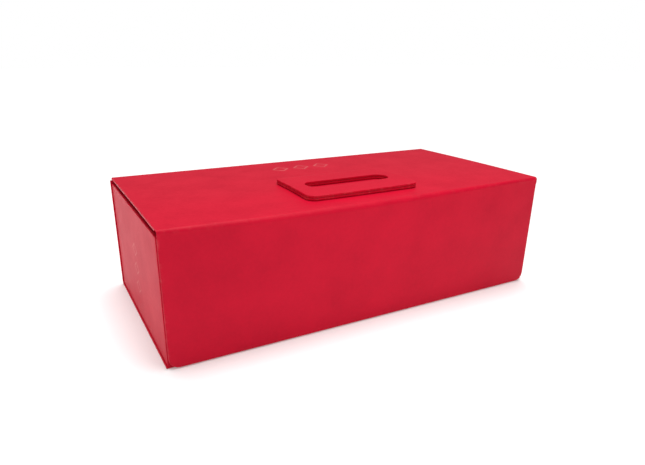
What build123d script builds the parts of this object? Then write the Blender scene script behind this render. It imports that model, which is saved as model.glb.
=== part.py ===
"""Rigid paper-covered carry box: a tray inside a hinged cover, a front flap held by magnets, and a folding handle.

Millimetres. +X runs along the length, +Y towards the spine (the back), +Z up. The origin is the centre of the
underside. The box is closed and the handle lies forward on the lid.
"""

from build123d import *
import os
from math import pi

# Driving dimensions of the closed box
length = 350.0  # over the base and the spine
depth = 170.0  # from the flap's outer face to the spine's outer face
height = 103.0  # from the underside of the base to the top of the lid
board = 2.0  # greyboard of every wall and panel
paper = 0.25  # wrapping and lining paper
cloth = 0.5  # hinge cloth together with the paper glued over it
stay = 0.15  # corner tape, under the tray's wrap

# Gaps that let it open and close
lid_gap = 3.0  # tray rim to the underside of the lid
flap_gap = 0.8  # flap lining to the front of the tray
flap_lift = 0.6  # table to the flap's lower edge
end_overhang = 1.0  # base and spine stand past the tray at each end
lid_trim = 1.5  # lid and flap stop short of the base and spine at each end
joint_gap = 0.3  # between the hinge cloth and the panel that swings on it

# Rounded folds of the cover, as outer radii
fold_radius = 5.0  # lid to flap
hinge_radius = 3.0  # spine to lid, and base to spine
flap_corner_radius = 8.0

# Paper details
turn_in = 15.0  # wrap folded over the tray's rim and under its floor
lining_reveal = 5.0  # rim to the top of the tray's lining
lining_margin = 3.0  # edge of a cover panel to the edge of its lining
stay_leg = 18.0

# Closure magnets, flush in the flap board and in the tray's front wall
magnet_radius = 6.0
magnet_fit = 0.1
magnet_spacing = 210.0
magnet_height = 30.0

# Handle: two slotted leaves on a cloth core, hinged on a tongue that passes through a slit in the lid
handle_width = 106.0
handle_reach = 64.5  # hinge axis to the front edge
handle_gutter = 2.5  # hinge axis to the back edge of the leaves
handle_front_radius = 8.0
handle_back_radius = 3.0
handle_lift = 0.3  # lid to the lower leaf
leaf_board = 1.6
core_cloth = 0.3
core_inset = 0.6  # the groove that shows between the two leaves
hand_slot_length = 80.0
hand_slot_width = 17.0
hand_slot_reach = 33.5  # hinge axis to the middle of the slot
tongue_width = 90.0
slit_length = 94.0
slit_width = 1.5
flange_reach = 24.0  # how far the tongue spreads under the lid, each way
flange_thickness = 0.3
anchor_board = 1.0
anchor_start = 1.0  # middle of the slit to an anchor board

# Places worked out from the dimensions above
front = -depth / 2
back = depth / 2
half_length = length / 2
lid_length = length - 2 * lid_trim
panel = board + 2 * paper

lid_under = height - panel
lid_front = front + fold_radius
lid_back = back - hinge_radius - joint_gap
lid_depth = lid_back - lid_front
lid_middle = (lid_front + lid_back) / 2
flap_top = height - fold_radius - joint_gap
spine_top = height - hinge_radius

tray_front = front + panel + flap_gap
tray_back = back - paper - board
tray_depth = tray_back - tray_front
tray_middle = (tray_front + tray_back) / 2
tray_half = half_length - end_overhang
tray_bottom = paper + board
rim = lid_under - lid_gap

wall_inset = paper + stay  # tray's outer face to the outer face of its boards
wall_half = tray_half - wall_inset
wall_front = tray_front + wall_inset
wall_back = tray_back - wall_inset
floor_bottom = tray_bottom + paper
floor_top = floor_bottom + board
wall_top = rim - paper
wall_height = wall_top - floor_top
wall_middle_height = (floor_top + wall_top) / 2

leaf = leaf_board + paper
handle_bottom = height + handle_lift
handle_axis_height = handle_bottom + leaf + core_cloth / 2
handle_top = handle_bottom + 2 * leaf + core_cloth
handle_front = -handle_reach
handle_back = -handle_gutter
handle_middle = (handle_front + handle_back) / 2
flange_bottom = lid_under + paper - flange_thickness
anchor_bottom = flange_bottom - anchor_board


# --- Cover: base and spine, glued round the tray -------------------------------------------------------------

base_front = tray_front
base_back = back - hinge_radius

with BuildPart() as base_board:
    with Locations((0, (base_front + paper + base_back) / 2, paper)):
        Box(
            length - 2 * paper,
            base_back - base_front - paper,
            board,
            align=(Align.CENTER, Align.CENTER, Align.MIN),
        )

with BuildPart() as spine_board:
    with Locations((0, back - paper - board / 2, hinge_radius)):
        Box(
            length - 2 * paper,
            board,
            spine_top - hinge_radius,
            align=(Align.CENTER, Align.CENTER, Align.MIN),
        )


def cover_section(skin):
    """Section of the base and spine panels, `skin` inside their outer faces, up to the top of the spine."""
    inner_y = back - paper - board
    inner_z = paper + board
    start = (base_front + skin, skin)
    corner = hinge_radius - skin
    with BuildLine() as outline:
        Line(start, (base_back, skin))
        RadiusArc((base_back, skin), (back - skin, hinge_radius), -corner)
        Polyline(
            (back - skin, hinge_radius),
            (back - skin, spine_top),
            (inner_y, spine_top),
            (inner_y, inner_z),
            (base_front + skin, inner_z),
            start,
        )
    return outline.line


with BuildPart() as base_wrap:
    with BuildSketch(Plane.YZ):
        with BuildLine():
            add(cover_section(0.0))
        make_face()
    extrude(amount=half_length, both=True)
    with BuildSketch(Plane.YZ):
        with BuildLine():
            add(cover_section(paper))
        make_face()
    extrude(amount=half_length - paper, both=True, mode=Mode.SUBTRACT)


def quarter_ring(centre, radius, start_angle):
    """Section of a hinge cloth: a quarter of a thin ring about `centre`, in the Y-Z plane."""
    inner = radius - cloth
    with BuildSketch() as ring:
        with BuildLine():
            outer_arc = CenterArc(centre, radius, start_angle, 90)
            inner_arc = CenterArc(centre, inner, start_angle, 90)
            Line(outer_arc @ 0, inner_arc @ 0)
            Line(outer_arc @ 1, inner_arc @ 1)
        make_face()
    return ring.sketch


with BuildPart() as lid_hinge_cloth:
    with BuildSketch(Plane.YZ):
        add(quarter_ring((back - hinge_radius, spine_top), hinge_radius, 0))
    extrude(amount=lid_length / 2, both=True)


# --- Tray ----------------------------------------------------------------------------------------------------

with BuildPart() as floor_board:
    with Locations((0, tray_middle, floor_bottom)):
        Box(
            2 * wall_half,
            wall_back - wall_front,
            board,
            align=(Align.CENTER, Align.CENTER, Align.MIN),
        )

with BuildPart(Plane.XZ.offset(-wall_front)) as front_wall_board:
    with Locations((0, wall_middle_height)):
        Box(2 * wall_half, wall_height, board, align=(Align.CENTER, Align.CENTER, Align.MAX))
    with Locations((0, magnet_height)), GridLocations(magnet_spacing, 0, 2, 1):
        Hole(magnet_radius + magnet_fit)

with BuildPart() as back_wall_board:
    with Locations((0, wall_back - board / 2, floor_top)):
        Box(2 * wall_half, board, wall_height, align=(Align.CENTER, Align.CENTER, Align.MIN))

with BuildPart() as right_end_board:
    with Locations((wall_half - board / 2, tray_middle, floor_top)):
        Box(
            board,
            wall_back - wall_front - 2 * board,
            wall_height,
            align=(Align.CENTER, Align.CENTER, Align.MIN),
        )

with BuildPart() as left_end_board:
    add(right_end_board.part)
    mirror(about=Plane.YZ, mode=Mode.REPLACE)

with BuildPart() as corner_stays:
    with BuildSketch(Plane.XY.offset(floor_top)):
        with Locations((wall_half + stay, wall_back + stay)):
            Rectangle(stay, stay_leg, align=(Align.MAX, Align.MAX))
            Rectangle(stay_leg, stay, align=(Align.MAX, Align.MAX))
    extrude(amount=wall_height)
    mirror(about=Plane.YZ)
    mirror(about=Plane.XZ.offset(-tray_middle))

with BuildPart() as tray_wrap:
    # Outer skin, with its turned-over rim and turned-under foot
    with BuildSketch(Plane.XY.offset(tray_bottom)):
        with Locations((0, tray_middle)):
            Rectangle(2 * tray_half, tray_depth)
    extrude(amount=rim - tray_bottom)
    with BuildSketch(Plane.XY.offset(floor_bottom)):
        with Locations((0, tray_middle)):
            Rectangle(2 * (tray_half - paper), tray_depth - 2 * paper)
    extrude(amount=wall_top - floor_bottom, mode=Mode.SUBTRACT)
    with BuildSketch(Plane.XY.offset(tray_bottom)):
        with Locations((0, tray_middle)):
            Rectangle(2 * (tray_half - turn_in), tray_depth - 2 * turn_in)
    extrude(amount=paper, mode=Mode.SUBTRACT)
    # Strip down the inside of the walls
    with BuildSketch(Plane.XY.offset(rim - turn_in)):
        with Locations((0, tray_middle)):
            Rectangle(2 * (wall_half - board), wall_back - wall_front - 2 * board)
    extrude(amount=turn_in)
    with BuildSketch(Plane.XY.offset(rim - turn_in)):
        with Locations((0, tray_middle)):
            Rectangle(2 * (wall_half - board - paper), wall_back - wall_front - 2 * (board + paper))
    extrude(amount=turn_in, mode=Mode.SUBTRACT)

with BuildPart() as tray_lining:
    lining_length = 2 * (wall_half - board - paper)
    lining_depth = wall_back - wall_front - 2 * (board + paper)
    with BuildSketch(Plane.XY.offset(floor_top)):
        with Locations((0, tray_middle)):
            Rectangle(lining_length, lining_depth)
    extrude(amount=rim - lining_reveal - floor_top)
    with BuildSketch(Plane.XY.offset(floor_top + paper)):
        with Locations((0, tray_middle)):
            Rectangle(lining_length - 2 * paper, lining_depth - 2 * paper)
    extrude(amount=rim, mode=Mode.SUBTRACT)

with BuildPart(Plane.XZ.offset(-wall_front)) as tray_magnets:
    with Locations((0, magnet_height)), GridLocations(magnet_spacing, 0, 2, 1):
        Cylinder(magnet_radius, board, align=(Align.CENTER, Align.CENTER, Align.MAX))


# --- Lid -----------------------------------------------------------------------------------------------------

with BuildPart() as lid_board:
    with BuildSketch(Plane.XY.offset(lid_under + paper)):
        with Locations((0, lid_middle)):
            Rectangle(lid_length - 2 * paper, lid_depth)
        Rectangle(slit_length, slit_width, mode=Mode.SUBTRACT)
    extrude(amount=board)

with BuildPart() as lid_wrap:
    with BuildSketch(Plane.XY.offset(lid_under + paper)):
        with Locations((0, lid_middle)):
            Rectangle(lid_length, lid_depth)
        Rectangle(slit_length, slit_width, mode=Mode.SUBTRACT)
    extrude(amount=board + paper)
    with BuildSketch(Plane.XY.offset(lid_under + paper)):
        with Locations((0, lid_middle)):
            Rectangle(lid_length - 2 * paper, lid_depth)
    extrude(amount=board, mode=Mode.SUBTRACT)

with BuildPart() as lid_lining:
    with BuildSketch(Plane.XY.offset(lid_under)):
        with Locations((0, lid_middle)):
            Rectangle(lid_length - 2 * lining_margin, lid_depth - 2 * lining_margin)
    extrude(amount=paper)
    # Raised patch that covers the handle's anchors
    with BuildSketch(Plane.XY.offset(anchor_bottom - paper)):
        Rectangle(tongue_width + 2 * paper, 2 * (flange_reach + paper))
    extrude(until=Until.NEXT)
    with BuildSketch(Plane.XY.offset(anchor_bottom)):
        Rectangle(tongue_width, 2 * flange_reach)
    extrude(amount=lid_under + paper - anchor_bottom, mode=Mode.SUBTRACT)

with BuildPart() as flap_hinge_cloth:
    with BuildSketch(Plane.YZ):
        add(quarter_ring((lid_front, height - fold_radius), fold_radius, 90))
    extrude(amount=lid_length / 2, both=True)


# --- Flap ----------------------------------------------------------------------------------------------------


def flap_outline(inset):
    """Face of the flap in its own plane, `inset` inside its sides and lower edge."""
    with BuildSketch() as outline:
        with Locations((0, flap_lift + inset)):
            Rectangle(
                lid_length - 2 * inset,
                flap_top - flap_lift - inset,
                align=(Align.CENTER, Align.MIN),
            )
        fillet(outline.vertices().group_by(Axis.Y)[0], flap_corner_radius - inset)
    return outline.sketch


with BuildPart(Plane.XZ.offset(-front - paper)) as flap_board:
    with BuildSketch(Plane.XZ.offset(-front - paper)):
        add(flap_outline(paper))
    extrude(amount=-board)
    with Locations((0, magnet_height)), GridLocations(magnet_spacing, 0, 2, 1):
        Hole(magnet_radius + magnet_fit)

with BuildPart() as flap_wrap:
    with BuildSketch(Plane.XZ.offset(-front)):
        add(flap_outline(0.0))
    extrude(amount=-(paper + board))
    with BuildSketch(Plane.XZ.offset(-front - paper)):
        add(flap_outline(paper))
    extrude(amount=-board, mode=Mode.SUBTRACT)

with BuildPart() as flap_lining:
    with BuildSketch(Plane.XZ.offset(-front - paper - board)):
        add(flap_outline(lining_margin))
    extrude(amount=-paper)

with BuildPart(Plane.XZ.offset(-front - paper)) as flap_magnets:
    with Locations((0, magnet_height)), GridLocations(magnet_spacing, 0, 2, 1):
        Cylinder(magnet_radius, board, align=(Align.CENTER, Align.CENTER, Align.MAX))


# --- Handle --------------------------------------------------------------------------------------------------


def handle_outline(inset):
    """Plan of the handle, `inset` inside its edge and inside the wall of the hand slot."""
    with BuildSketch() as plan:
        with Locations((0, handle_middle)):
            Rectangle(handle_width - 2 * inset, handle_reach - handle_gutter - 2 * inset)
        fillet(plan.vertices().group_by(Axis.Y)[0], handle_front_radius - inset)
        fillet(plan.vertices().group_by(Axis.Y)[-1], handle_back_radius - inset)
        with Locations((0, -hand_slot_reach)):
            SlotOverall(hand_slot_length + 2 * inset, hand_slot_width + 2 * inset, mode=Mode.SUBTRACT)
    return plan.sketch


with BuildPart() as handle_lower_wrap:
    with BuildSketch(Plane.XY.offset(handle_bottom)):
        add(handle_outline(0.0))
    extrude(amount=leaf)
    with BuildSketch(Plane.XY.offset(handle_bottom + paper)):
        add(handle_outline(paper))
    extrude(amount=leaf_board, mode=Mode.SUBTRACT)

with BuildPart() as handle_lower_board:
    with BuildSketch(Plane.XY.offset(handle_bottom + paper)):
        add(handle_outline(paper))
    extrude(amount=leaf_board)

with BuildPart() as handle_core_cloth:
    with BuildSketch(Plane.XY.offset(handle_bottom + leaf)):
        add(handle_outline(core_inset))
    extrude(amount=core_cloth)

with BuildPart() as handle_upper_wrap:
    add(handle_lower_wrap.part)
    mirror(about=Plane.XY.offset(handle_axis_height), mode=Mode.REPLACE)

with BuildPart() as handle_upper_board:
    add(handle_lower_board.part)
    mirror(about=Plane.XY.offset(handle_axis_height), mode=Mode.REPLACE)

with BuildPart() as handle_tongue:
    # Stem through the slit, ending in a bead on the hinge axis, over a flange that spreads under the lid
    with BuildSketch(Plane.YZ):
        with Locations((0, flange_bottom)):
            Rectangle(cloth, handle_axis_height - flange_bottom, align=(Align.CENTER, Align.MIN))
            Rectangle(2 * flange_reach, flange_thickness, align=(Align.CENTER, Align.MIN))
        with Locations((0, handle_axis_height)):
            Circle(cloth)
    extrude(amount=tongue_width / 2, both=True)

with BuildPart() as handle_anchor_front:
    with Locations((0, -anchor_start, anchor_bottom)):
        Box(
            tongue_width,
            flange_reach - anchor_start,
            anchor_board,
            align=(Align.CENTER, Align.MAX, Align.MIN),
        )

with BuildPart() as handle_anchor_rear:
    add(handle_anchor_front.part)
    mirror(about=Plane.XZ, mode=Mode.REPLACE)


# --- Files ---------------------------------------------------------------------------------------------------

pieces = {
    "base_board": base_board,
    "spine_board": spine_board,
    "base_wrap": base_wrap,
    "lid_hinge_cloth": lid_hinge_cloth,
    "floor_board": floor_board,
    "front_wall_board": front_wall_board,
    "back_wall_board": back_wall_board,
    "left_end_board": left_end_board,
    "right_end_board": right_end_board,
    "corner_stays": corner_stays,
    "tray_wrap": tray_wrap,
    "tray_lining": tray_lining,
    "tray_magnets": tray_magnets,
    "lid_board": lid_board,
    "lid_wrap": lid_wrap,
    "lid_lining": lid_lining,
    "flap_hinge_cloth": flap_hinge_cloth,
    "flap_board": flap_board,
    "flap_wrap": flap_wrap,
    "flap_lining": flap_lining,
    "flap_magnets": flap_magnets,
    "handle_lower_wrap": handle_lower_wrap,
    "handle_lower_board": handle_lower_board,
    "handle_core_cloth": handle_core_cloth,
    "handle_upper_board": handle_upper_board,
    "handle_upper_wrap": handle_upper_wrap,
    "handle_tongue": handle_tongue,
    "handle_anchor_front": handle_anchor_front,
    "handle_anchor_rear": handle_anchor_rear,
}

os.makedirs("parts", exist_ok=True)
for name, piece in pieces.items():
    piece.part.label = name
    export_step(piece.part, f"parts/{name}.step")

# The paper folds turn about lines a quarter of pi in from the outer corner, where the fold neither stretches
# nor crumples between closed and flat
fold_share = 1 - pi / 4
print("lid hinge axis (Y, Z)", back - hinge_radius * fold_share, height - hinge_radius * fold_share)
print("flap hinge axis (Y, Z)", front + fold_radius * fold_share, height - fold_radius * fold_share)
print("handle hinge axis (Y, Z)", 0.0, handle_axis_height)
print("top of the handle", handle_top)
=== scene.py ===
from math import cos, pi, radians, sin

import bmesh
import bpy
import numpy as np
from mathutils import Euler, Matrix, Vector, noise


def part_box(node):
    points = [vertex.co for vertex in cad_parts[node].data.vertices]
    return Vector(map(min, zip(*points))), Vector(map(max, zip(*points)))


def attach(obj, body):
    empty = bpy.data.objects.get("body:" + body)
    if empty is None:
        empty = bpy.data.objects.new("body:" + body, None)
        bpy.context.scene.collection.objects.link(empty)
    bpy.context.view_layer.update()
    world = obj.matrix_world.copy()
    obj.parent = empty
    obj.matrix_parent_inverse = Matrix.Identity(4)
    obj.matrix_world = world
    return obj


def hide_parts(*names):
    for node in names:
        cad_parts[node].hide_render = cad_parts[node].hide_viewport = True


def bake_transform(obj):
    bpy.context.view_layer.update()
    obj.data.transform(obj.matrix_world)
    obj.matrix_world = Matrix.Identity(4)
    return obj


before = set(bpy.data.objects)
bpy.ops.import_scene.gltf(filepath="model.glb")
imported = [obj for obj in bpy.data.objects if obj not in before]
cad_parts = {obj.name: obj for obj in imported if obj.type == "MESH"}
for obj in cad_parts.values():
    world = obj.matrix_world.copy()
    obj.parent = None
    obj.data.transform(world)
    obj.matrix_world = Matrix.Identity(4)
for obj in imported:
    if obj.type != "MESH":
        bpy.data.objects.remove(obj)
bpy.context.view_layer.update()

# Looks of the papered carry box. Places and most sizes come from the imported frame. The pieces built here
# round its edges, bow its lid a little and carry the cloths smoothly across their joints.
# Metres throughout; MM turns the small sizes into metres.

MM = 0.001


# --- Places read from the frame ----------------------------------------------------------------------------


def low(node):
    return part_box(node)[0]


def high(node):
    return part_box(node)[1]


HALF = high("lid_wrap").x
BASE_HALF = high("base_wrap").x
TOP = high("lid_wrap").z
LID_UNDER = low("lid_board").z
LID_FRONT = low("lid_board").y
LID_BACK = high("lid_board").y
FRONT = low("flap_wrap").y
FLAP_INSIDE = high("flap_board").y
FLAP_FOOT = low("flap_wrap").z
FLAP_TOP = high("flap_board").z
BACK = high("base_wrap").y
SPINE_TOP = high("spine_board").z
BASE_FRONT = low("base_wrap").y
BOARD = TOP - LID_UNDER  # a cover panel with its outer paper
FRONT_BOARD = FLAP_INSIDE - FRONT
PAPER = TOP - high("lid_board").z
HINGE_RADIUS = high("lid_hinge_cloth").z - SPINE_TOP

# Softness that the flat frame doesn't have
EDGE_RADIUS = 0.5 * MM  # paper turned round the edge of a board
FLAP_EDGE_RADIUS = 1.0 * MM
LOWER_EDGE_RADIUS = 0.2 * MM  # on the lid's inner side
FLAP_CORNER = 8.0 * MM  # rounded corner of the flap, seen from the front
SAG = 1.7 * MM  # the lid's front edge at its lowest
SAG_REACH = 62.0 * MM  # how far back from the front edge the sag reaches
SAG_FULL_HEIGHT = TOP - 3.0 * MM  # the flap sags with the lid above this, and less below
END_ARCH = 0.5 * MM  # the lid's end edges rise between their corners
ARCH_REACH = 22.0 * MM  # how quickly that rise fades inwards
FOLD_SHARP = 2.4 * MM  # radius of the front fold at the ends
FOLD_SOFT = 5.0 * MM  # and in its middle
FOLD_THICKNESS = 0.8 * MM  # the lid's cloth and paper, where no board lies between them
HINGE_THICKNESS = 0.7 * MM
HINGE_EDGE = 0.3 * MM  # rounding at the two ends of the back fold
RIPPLE = 0.11 * MM  # height of the waves in glued paper
RIPPLE_FADE = 9.0 * MM  # an edge holds the paper flat this far in

# Finish of the red paper
RED = (0.59, 0.003, 0.026)
PAPER_GLOSS = 0.1
PAPER_ROUGHNESS = 0.46
RUBBED = 0.16  # how far a rubbed edge pales
WEAR_REACH = 2.5 * MM  # how far in from an edge it is rubbed
HINGE_WEAR = 0.15  # the least wear anywhere on the back fold
FOIL = (0.80, 0.42, 0.38)
FOIL_LEFT = 0.32  # how much of the faded foil is left


# --- Small helpers -----------------------------------------------------------------------------------------


def smoothstep(t):
    t = np.clip(t, 0.0, 1.0)
    return t * t * (3 - 2 * t)


def round_over(distance, radius):
    """How far a surface has dropped at `distance` in from an edge rounded to `radius`."""
    missing = np.clip(radius - distance, 0.0, radius)
    return radius - np.sqrt(radius**2 - missing**2)


# Distances in from an edge at which a grid has its rows, close together where the edge is rounded
FINE = np.array([0.0, 0.08, 0.2, 0.38, 0.62, 1.0, 1.8, 3.2, 5.5, 8.5]) * MM


def stations(start, end, step, fine_start=True, fine_end=True, through=()):
    """Values from start to end about a step apart, closer together at the ends that are asked for."""
    length = abs(end - start)
    direction = 1 if end > start else -1
    from_start = list(FINE) if fine_start else [0.0]
    from_end = list(length - FINE) if fine_end else [length]
    marks = sorted(set(from_start + from_end + [abs(value - start) for value in through]))
    filled = []
    for here, there in zip(marks[:-1], marks[1:]):
        count = max(1, round((there - here) / step))
        filled += list(np.linspace(here, there, count, endpoint=False))
    return start + direction * np.array(filled + [marks[-1]])


def ripples(points, size, seed):
    """Smooth noise between about -1 and 1 at each point, with waves about `size` long."""
    flat = points.reshape(-1, 3) / size + seed * 7.31
    values = [noise.noise(Vector(point)) + 0.4 * noise.noise(Vector(point * 3.1)) for point in flat]
    return np.array(values).reshape(points.shape[:-1])


SAME_POINT = 1e-7  # points nearer than this are one point
SHARP_EDGE = radians(40.0)  # a steeper edge is drawn sharp


def new_piece(name, vertices, faces):
    """A mesh object with outward normals, smooth but for its sharp edges, that remembers its closed place."""
    mesh = bpy.data.meshes.new(name)
    mesh.from_pydata([tuple(vertex) for vertex in vertices], [], faces)
    work = bmesh.new()
    work.from_mesh(mesh)
    bmesh.ops.remove_doubles(work, verts=work.verts, dist=SAME_POINT)
    bmesh.ops.recalc_face_normals(work, faces=work.faces)
    work.to_mesh(mesh)
    work.free()
    mesh.shade_smooth()
    mesh.set_sharp_from_angle(angle=SHARP_EDGE)
    remembered = mesh.attributes.new("closed_place", "FLOAT_VECTOR", "POINT")
    remembered.data.foreach_set("vector", np.array([vertex.co for vertex in mesh.vertices]).ravel())
    piece = bpy.data.objects.new(name, mesh)
    bpy.context.scene.collection.objects.link(piece)
    return piece


def sheet(name, outer, inner, hole=None):
    """A closed sheet between two grids of points, with walls round its rim and round any cells in `hole`."""
    rows, columns = outer.shape[:2]
    kept = np.ones((rows - 1, columns - 1), bool) if hole is None else ~hole
    layer = rows * columns

    def corner(row, column):
        return row * columns + column

    def is_kept(row, column):
        return 0 <= row < rows - 1 and 0 <= column < columns - 1 and kept[row, column]

    faces = []
    for row, column in zip(*np.nonzero(kept)):
        row, column = int(row), int(column)
        ring = [corner(row, column), corner(row, column + 1)]
        ring += [corner(row + 1, column + 1), corner(row + 1, column)]
        faces.append(ring)
        faces.append([layer + vertex for vertex in reversed(ring)])
        beyond = [(row - 1, column), (row, column + 1), (row + 1, column), (row, column - 1)]
        for side, (next_row, next_column) in enumerate(beyond):
            if not is_kept(next_row, next_column):
                a, b = ring[side], ring[(side + 1) % 4]
                faces.append([b, a, layer + a, layer + b])
    vertices = np.concatenate([outer.reshape(-1, 3), inner.reshape(-1, 3)])
    used = sorted({vertex for face in faces for vertex in face})
    renumber = {vertex: place for place, vertex in enumerate(used)}
    return new_piece(name, vertices[used], [[renumber[vertex] for vertex in face] for face in faces])


def loop_solid(name, loops):
    """A closed solid through a ring of loops of equally many points; the last loop joins the first."""
    count = len(loops[0])
    faces = []
    for ring in range(len(loops)):
        here, there = ring * count, ((ring + 1) % len(loops)) * count
        for place in range(count):
            after = (place + 1) % count
            faces.append([here + place, here + after, there + after, there + place])
    return new_piece(name, np.concatenate(loops), faces)


def rounded_loop(centre, half_x, half_y, radii, height, along_x=24, along_y=12, corner=7):
    """A rounded rectangle at one height, as a loop of points counterclockwise; `radii` are front and back."""
    front, back = radii
    corners = ((1, 1, 0, back), (-1, 1, 90, back), (-1, -1, 180, front), (1, -1, 270, front))
    arcs = []
    for right, up, first, bend in corners:
        middle = np.array([right * (half_x - bend), up * (half_y - bend)])
        turns = radians(first) + np.linspace(0.0, pi / 2, corner + 1)
        arcs.append(middle + bend * np.column_stack([np.cos(turns), np.sin(turns)]))
    points = []
    for place, arc in enumerate(arcs):
        gap = arcs[(place + 1) % 4][0] - arc[-1]
        shares = np.linspace(0.0, 1.0, along_x if place % 2 == 0 else along_y, endpoint=False)[1:, None]
        points += [arc, arc[-1] + gap * shares]
    flat = np.concatenate(points) + np.array(centre)
    return np.column_stack([flat, np.full(len(flat), height)])


def mark_wear(piece, wear):
    """Stores how exposed each point is to rubbing, from 0 to 1, for the paper's material."""
    attribute = piece.data.attributes.new("wear", "FLOAT", "POINT")
    attribute.data.foreach_set("value", np.clip(wear, 0, 1).astype(np.float32).ravel())


def positions(piece):
    return np.array([vertex.co for vertex in piece.data.vertices], float).reshape(-1, 3)


def turned_edge_wear(distance):
    """Wear that is strongest on an edge and fades inwards."""
    return np.clip(1.0 - distance / WEAR_REACH, 0.0, 1.0) ** 1.5


def fold_wear(points, y, z, most, reach):
    """Wear along a fold that runs lengthwise at y and z, fading to nothing at `reach`."""
    distance = np.hypot(points[:, 1] - y, points[:, 2] - z)
    return most * np.clip(1 - distance / reach, 0, 1)


# --- Materials ---------------------------------------------------------------------------------------------


def shader(name):
    material = bpy.data.materials.new(name)
    material.use_nodes = True
    nodes = material.node_tree.nodes
    return material, nodes, material.node_tree.links, nodes["Principled BSDF"]


def noise_node(nodes, links, place, scale, detail=4.0, roughness=0.55):
    node = nodes.new("ShaderNodeTexNoise")
    node.inputs["Scale"].default_value = scale
    node.inputs["Detail"].default_value = detail
    node.inputs["Roughness"].default_value = roughness
    links.new(place, node.inputs["Vector"])
    return node.outputs["Fac"]


def ramp_node(nodes, links, value, stops):
    node = nodes.new("ShaderNodeValToRGB")
    node.color_ramp.elements[0].position, node.color_ramp.elements[0].color = stops[0]
    node.color_ramp.elements[1].position, node.color_ramp.elements[1].color = stops[-1]
    for position, colour in stops[1:-1]:
        node.color_ramp.elements.new(position).color = colour
    links.new(value, node.inputs["Fac"])
    return node.outputs["Color"]


def range_node(nodes, links, value, low_in, high_in, low_out, high_out):
    node = nodes.new("ShaderNodeMapRange")
    node.inputs["From Min"].default_value = low_in
    node.inputs["From Max"].default_value = high_in
    node.inputs["To Min"].default_value = low_out
    node.inputs["To Max"].default_value = high_out
    links.new(value, node.inputs["Value"])
    return node.outputs["Result"]


def math_node(nodes, links, operation, first, second):
    node = nodes.new("ShaderNodeMath")
    node.operation = operation
    for place, value in enumerate((first, second)):
        if isinstance(value, (int, float)):
            node.inputs[place].default_value = value
        else:
            links.new(value, node.inputs[place])
    return node.outputs["Value"]


def mix_colour(nodes, links, share, first, second):
    node = nodes.new("ShaderNodeMix")
    node.data_type = "RGBA"
    for key, kind, value in (("Factor", "VALUE", share), ("A", "RGBA", first), ("B", "RGBA", second)):
        slot = next(slot for slot in node.inputs if slot.name == key and slot.type == kind)
        if isinstance(value, (int, float, tuple)):
            slot.default_value = value
        else:
            links.new(value, slot)
    return next(slot for slot in node.outputs if slot.type == "RGBA")


def stretched_place(nodes, links, stretch, remembered=False):
    """Where a pattern is looked up: the point's own place, or the place it had with the box closed."""
    if remembered:
        source = nodes.new("ShaderNodeAttribute")
        source.attribute_name = "closed_place"
        place = source.outputs["Vector"]
    else:
        place = nodes.new("ShaderNodeTexCoord").outputs["Object"]
    mapping = nodes.new("ShaderNodeMapping")
    mapping.inputs["Scale"].default_value = stretch
    links.new(place, mapping.inputs["Vector"])
    return mapping.outputs["Vector"]


def add_relief(nodes, links, bsdf, height, strength, distance):
    """Makes a pattern stand out from the surface, by up to `distance`."""
    bump = nodes.new("ShaderNodeBump")
    bump.inputs["Strength"].default_value = strength
    bump.inputs["Distance"].default_value = distance
    links.new(height, bump.inputs["Height"])
    links.new(bump.outputs["Normal"], bsdf.inputs["Normal"])


def tint(colour, factor):
    return tuple(min(1.0, channel * factor) for channel in colour) + (1.0,)


def lozenge_row(centre, half_size, spacing, along):
    """Three lozenges: the place on two axes, the half size on each, and the axis along which they repeat."""
    row = []
    for step in (-1, 0, 1):
        shift = [step * spacing if axis == along else 0.0 for axis in (0, 1)]
        row.append(((centre[0] + shift[0], centre[1] + shift[1]), half_size))
    return row


LINE_MIDDLE = 0.85  # of a lozenge's outline, as a share of the lozenge
LINE_HALF = 0.09
LINE_FADED = 0.15


def lozenge_outlines(nodes, links, place, axes, lozenges):
    """Mask of hollow lozenges drawn on the plane of two axes, such as "XY"."""
    separate = nodes.new("ShaderNodeSeparateXYZ")
    links.new(place, separate.inputs["Vector"])
    mask = None
    for centre, half_size in lozenges:
        spans = []
        for axis, middle, half in zip(axes, centre, half_size):
            offset = math_node(nodes, links, "SUBTRACT", separate.outputs[axis], middle)
            distance = math_node(nodes, links, "ABSOLUTE", offset, 0.0)
            spans.append(math_node(nodes, links, "DIVIDE", distance, half))
        reach = math_node(nodes, links, "ADD", *spans)
        past_line = math_node(nodes, links, "SUBTRACT", reach, LINE_MIDDLE)
        from_line = math_node(nodes, links, "ABSOLUTE", past_line, 0.0)
        outline = range_node(nodes, links, from_line, LINE_HALF, LINE_FADED, 1.0, 0.0)
        mask = outline if mask is None else math_node(nodes, links, "MAXIMUM", mask, outline)
    return mask


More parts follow.
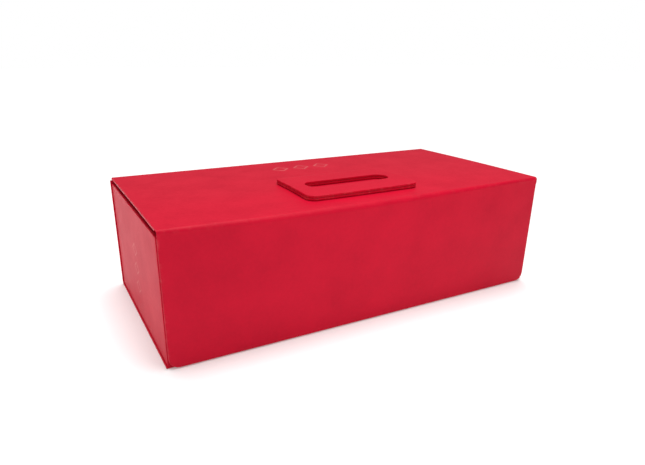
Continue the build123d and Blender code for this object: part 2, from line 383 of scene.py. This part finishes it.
def paper(name, colour, roughness, grain=0.22, remembered=True, rubbed_colour=(0.78, 0.30, 0.28), foil=None):
    """Dyed wrapping paper: mottling, short fibres lying along the length, rubbed edges, faded foil marks."""
    material, nodes, links, bsdf = shader(name)
    place = stretched_place(nodes, links, (1.0, 1.0, 1.0), remembered)
    fibres_place = stretched_place(nodes, links, (0.3, 1.0, 1.0), remembered)
    clouds = noise_node(nodes, links, place, 38.0, 3.0)
    mottle = noise_node(nodes, links, place, 420.0, 5.0, 0.6)
    fibres = noise_node(nodes, links, fibres_place, 2600.0, 6.0, 0.65)
    mixed = math_node(nodes, links, "MULTIPLY", clouds, 0.5)
    for pattern, share in ((mottle, 0.28), (fibres, 0.22)):
        mixed = math_node(nodes, links, "ADD", mixed, math_node(nodes, links, "MULTIPLY", pattern, share))
    stops = [(0.33, tint(colour, 0.90)), (0.5, tint(colour, 1.0)), (0.67, tint(colour, 1.08))]
    dyed = ramp_node(nodes, links, mixed, stops)

    worn = nodes.new("ShaderNodeAttribute")
    worn.attribute_name = "wear"
    scuff_noise = noise_node(nodes, links, place, 230.0, 6.0, 0.7)
    scuffs = range_node(nodes, links, scuff_noise, 0.50, 0.72, 0.0, 1.0)
    rubbed = math_node(nodes, links, "MULTIPLY", worn.outputs["Fac"], scuffs)
    rubbed = math_node(nodes, links, "MULTIPLY", rubbed, RUBBED)
    coloured = mix_colour(nodes, links, rubbed, dyed, rubbed_colour + (1.0,))
    if foil:
        axes, lozenges = foil
        left = range_node(nodes, links, mottle, 0.35, 0.65, 0.4 * FOIL_LEFT, FOIL_LEFT)
        outlines = lozenge_outlines(nodes, links, place, axes, lozenges)
        mask = math_node(nodes, links, "MULTIPLY", outlines, left)
        coloured = mix_colour(nodes, links, mask, coloured, FOIL + (1.0,))
    links.new(coloured, bsdf.inputs["Base Color"])

    rough = range_node(nodes, links, mixed, 0.3, 0.7, roughness + 0.05, roughness - 0.05)
    roughened = math_node(nodes, links, "ADD", rough, math_node(nodes, links, "MULTIPLY", rubbed, 0.3))
    links.new(roughened, bsdf.inputs["Roughness"])
    bsdf.inputs["Specular IOR Level"].default_value = PAPER_GLOSS

    relief = math_node(nodes, links, "ADD", math_node(nodes, links, "MULTIPLY", mottle, 0.5), fibres)
    add_relief(nodes, links, bsdf, relief, grain, 0.06 * MM)
    return material


def cloth(name, colour):
    """Book cloth: a fine plain weave, pale on the crowns of its threads."""
    material, nodes, links, bsdf = shader(name)
    place = stretched_place(nodes, links, (1.0, 1.0, 1.0))
    waves = []
    for direction in ("X", "Y"):
        wave = nodes.new("ShaderNodeTexWave")
        wave.bands_direction = direction
        wave.inputs["Scale"].default_value = 520.0
        wave.inputs["Distortion"].default_value = 0.6
        wave.inputs["Detail"].default_value = 2.0
        links.new(place, wave.inputs["Vector"])
        waves.append(wave.outputs["Fac"])
    weave = math_node(nodes, links, "MAXIMUM", waves[0], waves[1])
    stops = [(0.0, tint(colour, 0.62)), (0.6, tint(colour, 0.95)), (1.0, tint(colour, 1.15))]
    links.new(ramp_node(nodes, links, weave, stops), bsdf.inputs["Base Color"])
    bsdf.inputs["Roughness"].default_value = 0.72
    bsdf.inputs["Sheen Weight"].default_value = 0.1
    add_relief(nodes, links, bsdf, weave, 0.5, 0.08 * MM)
    return material


def greyboard(name):
    """Recycled board: grey-brown pulp with dark and pale flecks."""
    material, nodes, links, bsdf = shader(name)
    place = stretched_place(nodes, links, (1.0, 1.0, 1.0))
    pulp = noise_node(nodes, links, place, 300.0, 6.0, 0.65)
    flecks = noise_node(nodes, links, place, 1500.0, 3.0, 0.8)
    mixed = math_node(nodes, links, "ADD", math_node(nodes, links, "MULTIPLY", pulp, 0.6),
                      math_node(nodes, links, "MULTIPLY", flecks, 0.4))
    stops = [(0.36, (0.20, 0.18, 0.15, 1)), (0.5, (0.38, 0.35, 0.30, 1)), (0.66, (0.52, 0.49, 0.43, 1))]
    links.new(ramp_node(nodes, links, mixed, stops), bsdf.inputs["Base Color"])
    bsdf.inputs["Roughness"].default_value = 0.9
    add_relief(nodes, links, bsdf, flecks, 0.5, 0.1 * MM)
    return material


def nickel(name):
    """Nickel plating with fine scratches."""
    material, nodes, links, bsdf = shader(name)
    place = stretched_place(nodes, links, (1.0, 0.1, 1.0))
    scratches = noise_node(nodes, links, place, 3000.0, 4.0, 0.6)
    bsdf.inputs["Metallic"].default_value = 1.0
    bsdf.inputs["Base Color"].default_value = (0.66, 0.65, 0.62, 1.0)
    links.new(range_node(nodes, links, scratches, 0.3, 0.7, 0.14, 0.32), bsdf.inputs["Roughness"])
    return material


# The faded marks lie behind the handle, a little off centre, and near the middle of each end
behind_handle = (-2 * MM, (high("handle_tongue").y + LID_BACK) / 2 - 3 * MM)
lid_row = lozenge_row(behind_handle, (9 * MM, 9 * MM), 22 * MM, along=0)
end_middle = ((low("tray_wrap").y + high("tray_wrap").y) / 2, 0.45 * TOP)
end_row = lozenge_row(end_middle, (9 * MM, 6 * MM), 16 * MM, along=1)

red_paper = paper("red_wrapping_paper", RED, PAPER_ROUGHNESS)
lid_paper = paper("red_lid_paper", RED, PAPER_ROUGHNESS, foil=("XY", lid_row))
tray_paper = paper("red_tray_paper", RED, PAPER_ROUGHNESS, foil=("YZ", end_row))
lining_paper = paper("red_lining_paper", (0.50, 0.014, 0.034), roughness=0.72, grain=0.35)
tape_paper = paper("kraft_tape", (0.60, 0.44, 0.27), 0.8, grain=0.4, remembered=False,
                   rubbed_colour=(0.7, 0.6, 0.45))
red_cloth = cloth("red_book_cloth", (0.55, 0.012, 0.032))
grey_board = greyboard("greyboard")
plated = nickel("nickel_plating")


def dress(piece, material):
    piece.data.materials.clear()
    piece.data.materials.append(material)
    return piece


# --- How the closed cover settles --------------------------------------------------------------------------


def bow(x):
    """Share of the full sag along the box: nothing at the ends, most a little left of the middle."""
    along = np.clip((x + HALF) / (2 * HALF), 0.0, 1.0)
    return np.sin(pi * along**0.78) ** 1.4


def settle(points):
    """The lid's front edge sags, its two end edges arch, and the flap's top follows the lid."""
    x, y, z = points[..., 0], points[..., 1], points[..., 2]
    from_front = 1.0 - smoothstep((y - FRONT) / SAG_REACH)
    up_the_flap = np.clip(z / SAG_FULL_HEIGHT, 0.0, 1.0) ** 1.5
    drop = SAG * bow(x) * from_front * up_the_flap
    depth_share = np.clip((y - FRONT) / (BACK - FRONT), 0.0, 1.0)
    near_end = np.exp(-(HALF - np.abs(x)) / ARCH_REACH)
    above_tray = smoothstep((z - 0.9 * TOP) / (0.05 * TOP))
    rise = END_ARCH * near_end * np.sin(pi * depth_share) * above_tray
    moved = points.copy()
    moved[..., 2] += rise - drop
    return moved


def front_fold_radius(x):
    return FOLD_SHARP + (FOLD_SOFT - FOLD_SHARP) * bow(x)


# --- Cover -------------------------------------------------------------------------------------------------

SLIT_X = high("handle_tongue").x + 2.0 * MM  # half the slit, with room at each end of the tongue
SLIT_Y = 0.75 * MM
FLAP_STRETCH_START = 140.0 * MM  # columns beyond this follow the flap's rounded corners
THINNING = 0.6 * MM  # how quickly a panel thins to the fold beside it


def flap_half(z):
    """Half the flap's length at a height, narrowing round its lower corners."""
    up = np.clip(z - FLAP_FOOT, 0.0, FLAP_CORNER)
    return HALF - (FLAP_CORNER - np.sqrt(FLAP_CORNER**2 - (FLAP_CORNER - up) ** 2))


def flap_edge_distance(x, z):
    """Distance from a point of the flap's face to the nearest of its side, lower and rounded edges."""
    side, up = HALF - np.abs(x), z - FLAP_FOOT
    in_corner = (side < FLAP_CORNER) & (up < FLAP_CORNER)
    corner = FLAP_CORNER - np.hypot(FLAP_CORNER - side, FLAP_CORNER - up)
    return np.maximum(np.where(in_corner, corner, np.minimum(side, up)), 0.0)


def follow_corners(x, half):
    """Columns near the ends squeezed in to fit a narrower row."""
    past = np.abs(x) - FLAP_STRETCH_START
    squeeze = (half - FLAP_STRETCH_START) / (HALF - FLAP_STRETCH_START)
    return np.where(past > 0, np.sign(x) * (FLAP_STRETCH_START + past * squeeze), x)


def build_cover_front():
    """Lid panel, front fold and flap in one sheet: boards are thick, the fold between them thin."""
    x = stations(-HALF, HALF, 6 * MM, through=(-SLIT_X, SLIT_X))
    radius = front_fold_radius(x)
    # The boards end here, and the thin fold begins
    thin_lid, thin_flap = LID_FRONT + 0.1 * MM, FLAP_TOP - 0.5 * MM
    rows = []  # one per row: y, z, normal y, normal z, thickness, each with a value for every column
    ones = np.ones_like(x)

    def add_row(y, z, normal_y, normal_z, thickness):
        rows.append([y * ones, z * ones, normal_y * ones, normal_z * ones, thickness * ones])

    lid_stations = stations(LID_BACK, thin_lid + THINNING, 6 * MM, False, False, (SLIT_Y, -SLIT_Y))
    for y in lid_stations:
        add_row(y, TOP, 0.0, 1.0, BOARD)
    for share in (0.0, 0.5):
        add_row(thin_lid + (FRONT + radius - thin_lid) * share, TOP, 0.0, 1.0, FOLD_THICKNESS)
    for turn in np.linspace(0.0, pi / 2, 13):
        y = FRONT + radius - radius * sin(turn)
        z = TOP - radius + radius * cos(turn)
        add_row(y, z, -sin(turn), cos(turn), FOLD_THICKNESS)
    for share in (0.5, 1.0):
        add_row(FRONT, TOP - radius + (thin_flap - TOP + radius) * share, -1.0, 0.0, FOLD_THICKNESS)
    for z in stations(thin_flap - THINNING, FLAP_FOOT, 6 * MM, False, True):
        add_row(FRONT, z, -1.0, 0.0, FRONT_BOARD)

    table = np.array(rows)
    y, z, normal_y, normal_z, thickness = (table[:, part] for part in range(5))
    is_flap = np.isclose(normal_y, -1.0)
    half = np.where(is_flap, flap_half(z), HALF)
    across = follow_corners(np.broadcast_to(x, y.shape), half)
    side = np.where(is_flap, flap_edge_distance(across, z), HALF - np.abs(across))
    radius_here = np.minimum(np.where(is_flap, FLAP_EDGE_RADIUS, EDGE_RADIUS), 0.45 * thickness)
    drop = round_over(side, radius_here)
    inner_drop = round_over(side, np.where(is_flap, radius_here, np.minimum(LOWER_EDGE_RADIUS, radius_here)))
    wave = RIPPLE * ripples(np.stack([across, y, z], -1), 42 * MM, 1.0) * smoothstep(side / RIPPLE_FADE)

    def layer(depth):
        return np.stack([across, y - normal_y * depth, z - normal_z * depth], -1)

    middle_x = (x[:-1] + x[1:]) / 2
    middle_y = (table[:-1, 0, 0] + table[1:, 0, 0]) / 2
    on_lid = (table[:-1, 3, 0] > 0.99) & (table[1:, 3, 0] > 0.99)
    hole = (on_lid & (np.abs(middle_y) < SLIT_Y))[:, None] & (np.abs(middle_x) < SLIT_X)[None, :]
    piece = sheet("cover_lid_and_flap", settle(layer(drop + wave)), settle(layer(thickness - inner_drop)),
                  hole)
    points = positions(piece)
    from_flap_edge = flap_edge_distance(points[:, 0], points[:, 2])
    on_flap = points[:, 1] < FRONT + BOARD + 0.2 * MM
    from_side = np.where(on_flap, from_flap_edge, HALF - np.abs(points[:, 0]))
    mark_wear(piece, turned_edge_wear(from_side) + fold_wear(points, FRONT, TOP, 0.55, 5 * MM))
    dress(piece, lid_paper)
    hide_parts("lid_board", "lid_wrap", "flap_hinge_cloth", "flap_board", "flap_wrap")
    # The bend lies between the lower edge of the lid's board and the inner edge of the flap's
    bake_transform(piece)
    return piece


def build_back_hinge():
    """Thin fold of papered cloth from the lid's back edge down to the spine."""
    x = stations(-HALF, HALF, 8 * MM)
    centre_y, centre_z = BACK - HINGE_RADIUS, SPINE_TOP
    profile = [(LID_BACK, TOP, 0.0, 1.0)]
    for turn in np.linspace(0.0, pi / 2, 15):
        profile.append((centre_y + HINGE_RADIUS * sin(turn), centre_z + HINGE_RADIUS * cos(turn),
                        sin(turn), cos(turn)))
    y, z, normal_y, normal_z = (np.array(values)[:, None] for values in zip(*profile))
    side = np.broadcast_to(HALF - np.abs(x), (len(profile), len(x)))
    drop = round_over(side, HINGE_EDGE)

    def layer(depth):
        across = np.broadcast_to(x, depth.shape)
        return np.stack([across, y - normal_y * depth, z - normal_z * depth], -1)

    piece = sheet("cover_back_hinge", settle(layer(drop)), settle(layer(HINGE_THICKNESS - drop)))
    mark_wear(piece, HINGE_WEAR + turned_edge_wear(HALF - np.abs(positions(piece)[:, 0])))
    dress(piece, red_paper)
    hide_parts("lid_hinge_cloth")
    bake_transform(piece)
    return piece


def build_spine_and_base():
    """Spine and base panels in one sheet, round the lower back fold."""
    x = stations(-BASE_HALF, BASE_HALF, 7 * MM)
    bottom = low("base_wrap").z
    profile = [(BACK, z, 1.0, 0.0) for z in stations(SPINE_TOP, bottom + HINGE_RADIUS, 7 * MM, False, False)]
    for turn in np.linspace(0.0, pi / 2, 9)[1:]:
        profile.append((BACK - HINGE_RADIUS + HINGE_RADIUS * cos(turn),
                        bottom + HINGE_RADIUS - HINGE_RADIUS * sin(turn), cos(turn), -sin(turn)))
    base_rows = stations(BACK - HINGE_RADIUS, BASE_FRONT, 8 * MM, False, True)[1:]
    profile += [(y, bottom, 0.0, -1.0) for y in base_rows]
    y, z, normal_y, normal_z = (np.array(values)[:, None] for values in zip(*profile))
    side = np.minimum(BASE_HALF - np.abs(x)[None, :], y - BASE_FRONT)
    drop = round_over(side, EDGE_RADIUS)
    across = np.broadcast_to(x, side.shape)
    place = np.stack([across, y + 0 * side, z + 0 * side], -1)
    up_the_spine = smoothstep((z - 5 * MM) / (15 * MM)) * smoothstep((SPINE_TOP - z) / (12 * MM))
    wave = RIPPLE * (ripples(place, 46 * MM, 2.0) + 1.0) * smoothstep(side / RIPPLE_FADE) * up_the_spine

    def layer(depth):
        return np.stack([across, y - normal_y * depth, z - normal_z * depth], -1)

    piece = sheet("cover_spine_and_base", layer(drop + wave), layer(BOARD - drop))
    points = positions(piece)
    from_end = BASE_HALF - np.abs(points[:, 0])
    mark_wear(piece, turned_edge_wear(from_end) + fold_wear(points, BACK, bottom, 0.7, 4 * MM))
    dress(piece, red_paper)
    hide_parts("base_wrap", "base_board", "spine_board")
    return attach(piece, "tray")


# --- Tray --------------------------------------------------------------------------------------------------


def build_tray_skin():
    """Wrapping paper of the tray: up the walls, over the rim, down inside, and turned under the foot."""
    lowest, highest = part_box("tray_wrap")
    centre = ((lowest.x + highest.x) / 2, (lowest.y + highest.y) / 2)
    half_x, half_y = (highest.x - lowest.x) / 2, (highest.y - lowest.y) / 2
    wall = half_x - low("right_end_board").x + PAPER
    corner_radius, rim_radius, turn_in = 0.7 * MM, 0.42 * MM, 15.0 * MM
    foot, rim = lowest.z, highest.z

    # Each point is a distance in from the outer face, and a height
    section = [(depth, foot) for depth in (turn_in, 6 * MM, 1.0 * MM)]
    section += [(0.1 * MM, foot), (0.0, foot + 0.15 * MM)]
    section += [(0.0, z) for z in stations(foot + 1 * MM, rim - rim_radius, 7 * MM, False, True)]
    for turn in np.linspace(0.0, pi / 2, 6)[1:]:
        section.append((rim_radius - rim_radius * cos(turn), rim - rim_radius + rim_radius * sin(turn)))
    for turn in np.linspace(0.0, pi / 2, 6):
        height = rim - rim_radius + rim_radius * cos(turn)
        section.append((wall - rim_radius + rim_radius * sin(turn), height))
    section += [(wall, rim - depth) for depth in (4 * MM, 9 * MM, turn_in)]
    section += [(wall - PAPER, rim - turn_in), (wall - PAPER, rim - PAPER), (PAPER, rim - PAPER)]
    section += [(PAPER, foot + PAPER), (turn_in, foot + PAPER)]

    loops = []
    for depth, height in section:
        radius = max(corner_radius - depth, 0.12 * MM)
        loop = rounded_loop(centre, half_x - depth, half_y - depth, (radius, radius), height, 44, 24, 5)
        if depth == 0.0:  # the outer face, whose two ends are a little uneven
            fade = smoothstep((height - foot) / (8 * MM)) * smoothstep((rim - height) / (8 * MM))
            wave = RIPPLE * np.minimum(ripples(loop, 40 * MM, 3.0) - 0.4, 0.0) * fade
            loop[:, 0] += np.sign(loop[:, 0]) * wave * (np.abs(loop[:, 0] - centre[0]) > half_x - 0.8 * MM)
        loops.append(loop)
    piece = loop_solid("tray_wrapping", loops)
    points = positions(piece)
    from_rim = np.abs(points[:, 2] - rim)
    from_x = half_x - np.abs(points[:, 0] - centre[0])
    from_y = half_y - np.abs(points[:, 1] - centre[1])
    from_corner = np.hypot(from_x, from_y)
    mark_wear(piece, turned_edge_wear(from_rim) + turned_edge_wear(from_corner))
    dress(piece, tray_paper)
    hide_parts("tray_wrap")
    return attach(piece, "tray")


def build_tray_lining():
    """A strip of lining round the inside of the walls, and a sheet on the floor."""
    lowest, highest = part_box("tray_lining")
    centre = ((lowest.x + highest.x) / 2, (lowest.y + highest.y) / 2)
    half_x, half_y = (highest.x - lowest.x) / 2, (highest.y - lowest.y) / 2
    floor = lowest.z
    loops = []
    heights = stations(floor + PAPER, highest.z, 9 * MM, False, True)
    for height in heights:
        bend = 0.9 * MM
        loops.append(rounded_loop(centre, half_x - PAPER, half_y - PAPER, (bend, bend), height, 44, 24, 5))
    for height in reversed(heights):
        bend = 0.3 * MM
        loops.append(rounded_loop(centre, half_x, half_y, (bend, bend), height, 44, 24, 5))
    walls = loop_solid("tray_lining_walls", loops)
    mark_wear(walls, turned_edge_wear(highest.z - positions(walls)[:, 2]))
    dress(walls, lining_paper)
    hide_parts("tray_lining")
    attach(walls, "tray")

    gap = 0.6 * MM
    x = stations(centre[0] - half_x + gap, centre[0] + half_x - gap, 9 * MM)
    y = stations(centre[1] - half_y + gap, centre[1] + half_y - gap, 9 * MM)
    across, along = np.meshgrid(x, y)
    place = np.stack([across, along, np.full_like(across, floor + PAPER)], -1)
    under = place.copy()
    under[..., 2] = floor
    edge = np.minimum(half_x - np.abs(across - centre[0]), half_y - np.abs(along - centre[1])) - gap
    place[..., 2] += 0.09 * MM * (ripples(place, 35 * MM, 4.0) + 1.0) * smoothstep(edge / (12 * MM))
    ground = sheet("tray_lining_floor", place, under)
    mark_wear(ground, np.zeros(len(ground.data.vertices)))
    dress(ground, lining_paper)
    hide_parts("tray_lining")
    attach(ground, "tray")


# --- Linings of the cover ----------------------------------------------------------------------------------


def build_lid_lining():
    """Lining under the lid, bulging down smoothly over the anchors of the handle."""
    lowest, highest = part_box("lid_lining")
    anchors = (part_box("handle_anchor_front"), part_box("handle_anchor_rear"))
    patch_x = anchors[0][1].x
    patch_y = anchors[1][1].y
    drop = highest.z - PAPER - lowest.z
    slope = 1.6 * MM

    def marks(half):
        """Where the lining slopes back to the board, on both sides of the patch it bulges over."""
        return [side * (half + PAPER + step * slope) for side in (-1, 1) for step in (0, 0.33, 0.66, 1)]

    x = stations(lowest.x, highest.x, 7 * MM, through=marks(patch_x))
    y = stations(lowest.y, highest.y, 7 * MM, through=marks(patch_y))
    across, along = np.meshgrid(x, y)
    outside = np.maximum(np.abs(across) - patch_x - PAPER, np.abs(along) - patch_y - PAPER)
    bulge = drop * (1 - smoothstep(outside / slope))
    lower = np.stack([across, along, highest.z - PAPER - bulge], -1)
    upper = lower + np.array([0.0, 0.0, PAPER])
    piece = sheet("lid_lining_sheet", settle(lower), settle(upper))
    edge = np.minimum(highest.x - np.abs(positions(piece)[:, 0]), 1.0)
    mark_wear(piece, turned_edge_wear(edge) * 0.4)
    dress(piece, lining_paper)
    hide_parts("lid_lining")
    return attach(piece, "lid")


def build_flap_lining():
    """Lining inside the flap, with the magnets just showing through."""
    lowest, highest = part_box("flap_lining")
    magnet_low, magnet_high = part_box("flap_magnets")
    magnet_z = (magnet_low.z + magnet_high.z) / 2
    magnet_radius = (magnet_high.z - magnet_low.z) / 2
    magnet_x = magnet_high.x - magnet_radius
    ring = [magnet_radius * share for share in (-1.1, -0.8, -0.4, 0.0, 0.4, 0.8, 1.1)]
    x = stations(lowest.x, highest.x, 7 * MM, through=[s * magnet_x + r for s in (-1, 1) for r in ring])
    z = stations(highest.z - 0.4 * MM, lowest.z, 7 * MM, False, True, [magnet_z + r for r in ring])
    across, up = np.meshgrid(x, z)
    radius = 5.0 * MM
    lift = np.clip(up - lowest.z, 0, radius)
    half = highest.x - (radius - np.sqrt(radius**2 - (radius - lift) ** 2))
    across = follow_corners(across, half)
    centred = np.hypot(np.abs(across) - magnet_x, up - magnet_z)
    swell = 0.12 * MM * (1 - smoothstep((centred - 0.85 * magnet_radius) / (0.3 * magnet_radius)))
    inner = np.stack([across, highest.y + swell, up], -1)
    outer = np.stack([across, np.full_like(across, lowest.y), up], -1)
    piece = sheet("flap_lining_sheet", settle(inner), settle(outer))
    mark_wear(piece, np.zeros(len(piece.data.vertices)))
    dress(piece, lining_paper)
    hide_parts("flap_lining")
    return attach(piece, "flap")


# --- Handle ------------------------------------------------------------------------------------------------

HANDLE_CORNERS = (8.0 * MM, 3.0 * MM)  # front and back
HAND_SLOT_HALF = (40.0 * MM, 8.5 * MM)
HAND_SLOT_Y = (low("handle_upper_wrap").y + high("handle_upper_wrap").y) / 2
LEAF_EDGE = 0.5 * MM  # rounding of a papered leaf's edges
CORE_EDGE = 0.12 * MM


def build_leaf(name, outline_node, edge, material, slot, *replaced):
    """One layer of the handle: a flat solid with rounded edges, outside and in the hand slot."""
    lowest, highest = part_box(outline_node)
    centre = (0.0, (lowest.y + highest.y) / 2)
    half_x, half_y = (highest.x - lowest.x) / 2, (highest.y - lowest.y) / 2
    back_from_edge = high("handle_upper_wrap").x - half_x
    corners = tuple(corner - back_from_edge for corner in HANDLE_CORNERS)

    def outside(inset, height):
        radii = tuple(corner - inset for corner in corners)
        return rounded_loop(centre, half_x - inset, half_y - inset, radii, height, 26, 14, 12)

    def inside(inset, height):
        half = HAND_SLOT_HALF[1] + back_from_edge + inset
        length = HAND_SLOT_HALF[0] + back_from_edge + inset
        return rounded_loop((0.0, HAND_SLOT_Y), length, half, (0.97 * half, 0.97 * half), height, 26, 14, 12)

    turns = np.linspace(0.0, pi / 2, 6)
    bottom, top = lowest.z, highest.z
    loops = [outside(edge * (1 - sin(t)), bottom + edge * (1 - cos(t))) for t in turns]
    loops += [outside(edge * (1 - cos(t)), top - edge * (1 - sin(t))) for t in turns]
    for share in (0.08, 0.3, 0.5, 0.7, 0.92):
        loops.append(outside(edge, top) * (1 - share) + inside(edge, top) * share)
    loops += [inside(edge * (1 - sin(t)), top - edge * (1 - cos(t))) for t in turns]
    loops += [inside(edge * (1 - cos(t)), bottom + edge * (1 - sin(t))) for t in turns]
    for share in (0.92, 0.5, 0.08):
        loops.append(outside(edge, bottom) * (1 - share) + inside(edge, bottom) * share)
    piece = loop_solid(name, [settle(loop) for loop in loops])
    points = positions(piece)
    side = half_x - np.abs(points[:, 0])
    reach = half_y - np.abs(points[:, 1] - centre[1])
    corner = np.where(points[:, 1] < centre[1], corners[0], corners[1])
    from_edge = corner - np.hypot(np.maximum(corner - side, 0), np.maximum(corner - reach, 0))
    mark_wear(piece, turned_edge_wear(np.maximum(from_edge, 0)))
    dress(piece, material)
    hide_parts(*replaced)
    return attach(piece, "handle")


def build_handle():
    """Two papered leaves, and the cloth between them set back from their edges."""
    for level in ("lower", "upper"):
        wrap, board = f"handle_{level}_wrap", f"handle_{level}_board"
        build_leaf(f"handle_{level}_leaf", wrap, LEAF_EDGE, red_paper, "red_paper", wrap, board)
    core = "handle_core_cloth"
    build_leaf("handle_core_layer", core, CORE_EDGE, red_cloth, "red_cloth", core)


def build_strap():
    """Cloth tongue: it comes up through the slit and turns forward between the leaves."""
    lowest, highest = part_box("handle_tongue")
    axis_z = (high("handle_core_cloth").z + low("handle_core_cloth").z) / 2
    leaf_back = high("handle_upper_wrap").y
    bend = 1.0 * MM
    straight_top = axis_z - bend
    path = [(0.0, z, 1.0, 0.0, 0.5 * MM) for z in np.linspace(LID_UNDER + 0.1 * MM, straight_top, 7)]
    for turn in np.linspace(0.0, pi / 2, 9)[1:]:
        path.append((-bend + bend * cos(turn), straight_top + bend * sin(turn), cos(turn), sin(turn),
                     (0.5 - 0.12 * turn) * MM))
    path.append(((leaf_back - bend) / 2, axis_z, 0.0, 1.0, 0.24 * MM))
    path.append((leaf_back, axis_z, 0.0, 1.0, 0.14 * MM))
    path.append((leaf_back - 0.5 * MM, axis_z, 0.0, 1.0, 0.14 * MM))
    x = stations(lowest.x, highest.x, 6 * MM)
    y, z, normal_y, normal_z, half = (np.array(values)[:, None] for values in zip(*path))
    side = np.broadcast_to(highest.x - np.abs(x), (len(path), len(x)))
    half = half - round_over(side, 0.9 * half)
    across = np.broadcast_to(x, half.shape)
    outer = np.stack([across, y + normal_y * half, z + normal_z * half], -1)
    inner = np.stack([across, y - normal_y * half, z - normal_z * half], -1)
    piece = sheet("handle_strap", outer, inner)
    dress(piece, red_cloth)
    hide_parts("handle_tongue")
    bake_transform(piece)

    thickness = 0.3 * MM
    y_flange = stations(lowest.y, highest.y, 8 * MM)
    across, along = np.meshgrid(stations(lowest.x, highest.x, 8 * MM), y_flange)
    upper = np.stack([across, along, np.full_like(across, lowest.z + thickness)], -1)
    lower = upper - np.array([0.0, 0.0, thickness])
    flange = sheet("handle_strap_flange", upper, lower)
    dress(flange, red_cloth)
    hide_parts("handle_tongue")
    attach(flange, "lid")


# --- Parts kept from the frame -----------------------------------------------------------------------------


def dress_kept_parts():
    """Boards, tape and magnets keep their own shape and get their materials."""
    boards = ["floor_board", "front_wall_board", "back_wall_board", "left_end_board", "right_end_board"]
    boards += ["handle_anchor_front", "handle_anchor_rear"]
    looks = {name: grey_board for name in boards}
    looks["corner_stays"] = tape_paper
    looks["tray_magnets"] = plated
    looks["flap_magnets"] = plated
    for name, material in looks.items():
        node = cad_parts[name]
        node.data.materials.clear()
        node.data.materials.append(material)


# --- Studio ------------------------------------------------------------------------------------------------


def build_floor():
    mesh = bpy.data.meshes.new("studio_floor")
    size = 6.0
    bottom = low("base_wrap").z - 0.05 * MM
    corners = [(-size, -size, bottom), (size, -size, bottom), (size, size, bottom), (-size, size, bottom)]
    mesh.from_pydata(corners, [], [(0, 1, 2, 3)])
    floor = bpy.data.objects.new("studio_floor", mesh)
    bpy.context.scene.collection.objects.link(floor)
    material, nodes, links, bsdf = shader("pale_floor")
    bsdf.inputs["Base Color"].default_value = (0.93, 0.93, 0.93, 1.0)
    bsdf.inputs["Roughness"].default_value = 0.9
    bsdf.inputs["Emission Color"].default_value = (1.0, 1.0, 1.0, 1.0)
    bsdf.inputs["Emission Strength"].default_value = 0.17  # lit from below, like a light table
    mesh.materials.append(material)


def build_world(fill, gloss, backdrop):
    """White surroundings: `fill` lights the box, its gloss reflects `gloss`, the camera sees `backdrop`."""
    world = bpy.data.worlds.new("studio")
    world.use_nodes = True
    nodes, links = world.node_tree.nodes, world.node_tree.links
    background = nodes["Background"]
    background.inputs["Color"].default_value = (1.0, 1.0, 1.0, 1.0)
    path = nodes.new("ShaderNodeLightPath")
    glossy = range_node(nodes, links, path.outputs["Is Glossy Ray"], 0.0, 1.0, fill, gloss)
    seen = range_node(nodes, links, path.outputs["Is Camera Ray"], 0.0, 1.0, 0.0, backdrop)
    links.new(math_node(nodes, links, "MAXIMUM", glossy, seen), background.inputs["Strength"])
    bpy.context.scene.world = world


def soft_sun(direction, brightness, spread):
    """Even light from one side; `brightness` is what a white card facing it would show."""
    light = bpy.data.lights.new("soft_sun", "SUN")
    light.energy = brightness * pi
    light.angle = spread
    lamp = bpy.data.objects.new("soft_sun", light)
    lamp.rotation_euler = Vector(direction).to_track_quat("Z", "Y").to_euler()
    bpy.context.scene.collection.objects.link(lamp)


def softbox(name, place, target, size, power):
    light = bpy.data.lights.new(name, "AREA")
    light.shape = "RECTANGLE"
    light.size, light.size_y = size
    light.energy = power
    lamp = bpy.data.objects.new(name, light)
    lamp.location = place
    lamp.rotation_euler = (Vector(target) - Vector(place)).to_track_quat("-Z", "Y").to_euler()
    bpy.context.scene.collection.objects.link(lamp)


def build_camera():
    """A close three-quarter view from the front left, looking down at the lid."""
    data = bpy.data.cameras.new("camera")
    data.sensor_width = 36.0
    data.lens = 29.894
    data.shift_x, data.shift_y = 0.0130, 0.0313
    camera = bpy.data.objects.new("camera", data)
    camera.location = (-0.2393, -0.4134, 0.2105)
    look_down, look_right, roll = radians(20.738), radians(28.656), radians(0.593)
    turn = Euler((pi / 2 - look_down, 0.0, -look_right), "XYZ").to_matrix()
    turn = turn @ Euler((0.0, 0.0, roll), "XYZ").to_matrix()
    camera.rotation_euler = turn.to_euler()
    bpy.context.scene.collection.objects.link(camera)
    bpy.context.scene.camera = camera


# --- The whole scene ---------------------------------------------------------------------------------------

build_cover_front()
build_back_hinge()
build_spine_and_base()
build_tray_skin()
build_tray_lining()
build_lid_lining()
build_flap_lining()
build_handle()
build_strap()
dress_kept_parts()

build_floor()
build_world(fill=0.21, gloss=0.27, backdrop=1.0)
soft_sun(direction=(0.10, 0.16, 1.0), brightness=0.80, spread=radians(38))
softbox("fold_softbox", (0.0, -0.22, 0.38), (0.0, FRONT, TOP), (0.25, 0.15), 0.37)
softbox("end_softbox", (-1.0, 0.10, 0.35), (-HALF, 0.0, 0.5 * TOP), (0.6, 0.5), 2.0)
softbox("front_softbox", (0.06, -0.40, 0.16), (0.06, FRONT, 0.4 * TOP), (0.25, 0.2), 0.15)
build_camera()
bpy.context.scene.view_settings.view_transform = "Standard"
